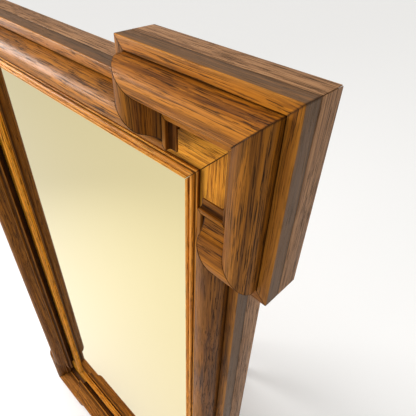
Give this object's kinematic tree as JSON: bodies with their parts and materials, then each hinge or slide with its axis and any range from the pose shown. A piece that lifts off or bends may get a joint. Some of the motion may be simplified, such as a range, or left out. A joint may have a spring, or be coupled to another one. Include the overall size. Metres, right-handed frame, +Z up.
{
  "type": "floor mirror",
  "caption": "Large floor mirror with a heavy eared moulded wooden frame that leans back on a folding rear stand.",
  "frame": {"origin": "centre of the bounding box at floor level, where the ear feet and the stand's pads rest", "axes": "+X to the right as seen from the front, +Y to the rear, +Z up; the glass faces -Y and leans back 9 degrees"},
  "size_m": [1.07, 0.667, 1.8023],
  "materials": {
    "moulding_wood": "satin wax polish, open pores",
    "frieze_wood": "satin wax polish, golden",
    "back_wood": "matt, lightly waxed",
    "plain_wood": "oiled",
    "silvered_glass": "clear float glass, silvered behind",
    "panel_board": "raw board",
    "rubber_pad": "matt",
    "brass": "satin, a little tarnished",
    "dark_steel": "blackened"
  },
  "bodies": {
    "frame": {"back_panel": "panel_board", "back_rail_bottom": "back_wood", "back_rail_left": "back_wood", "back_rail_right": "back_wood", "back_rail_top": "back_wood", "bead_pins": "dark_steel", "bracket_screws": "brass", "cleat_screws": "brass", "corner_keys": "plain_wood", "ear_bottom_end": "moulding_wood", "ear_bottom_start": "moulding_wood", "ear_feet": "rubber_pad", "ear_left_end": "moulding_wood", "ear_left_start": "moulding_wood", "ear_right_end": "moulding_wood", "ear_right_start": "moulding_wood", "ear_top_end": "moulding_wood", "ear_top_start": "moulding_wood", "frieze_bottom": "frieze_wood", "frieze_left": "frieze_wood", "frieze_right": "frieze_wood", "frieze_top": "frieze_wood", "glazing_bead_bottom": "plain_wood", "glazing_bead_left": "plain_wood", "glazing_bead_right": "plain_wood", "glazing_bead_top": "plain_wood", "hanger_plates": "brass", "hanger_screws": "brass", "mirror_glass": "silvered_glass", "moulding_bottom": "moulding_wood", "moulding_left": "moulding_wood", "moulding_right": "moulding_wood", "moulding_top": "moulding_wood", "pivot_bolts": "dark_steel", "pivot_brackets": "dark_steel", "pivot_nuts": "dark_steel", "rear_cleat": "plain_wood", "return_bottom_end": "moulding_wood", "return_bottom_start": "moulding_wood", "return_left_end": "moulding_wood", "return_left_start": "moulding_wood", "return_right_end": "moulding_wood", "return_right_start": "moulding_wood", "return_top_end": "moulding_wood", "return_top_start": "moulding_wood", "sight_bottom": "frieze_wood", "sight_left": "frieze_wood", "sight_right": "frieze_wood", "sight_top": "frieze_wood"},
    "stand": {"stand_leg_left": "plain_wood", "stand_leg_right": "plain_wood", "stand_rung_lower": "plain_wood", "stand_rung_middle": "plain_wood", "stand_rung_upper": "plain_wood", "leg_pads": "rubber_pad", "pivot_bushes": "brass"},
    "ring_left": {"hanger_ring_left": "brass"},
    "ring_right": {"hanger_ring_right": "brass"}
  },
  "joints": [
    {"name": "stand_fold", "type": "hinge", "parent": "frame", "child": "stand", "pos_m": [0, -0.01818, 1.16121], "axis": [1, 0, 0], "range_deg": [-25, 0]},
    {"name": "ring_left_swing", "type": "hinge", "parent": "frame", "child": "ring_left", "pos_m": [-0.42, -0.02591, 1.36493], "axis": [1, 0, 0], "range_deg": [-9, 160]},
    {"name": "ring_right_swing", "type": "hinge", "parent": "frame", "child": "ring_right", "pos_m": [0.42, -0.02591, 1.36493], "axis": [1, 0, 0], "range_deg": [-9, 160]}
  ]
}
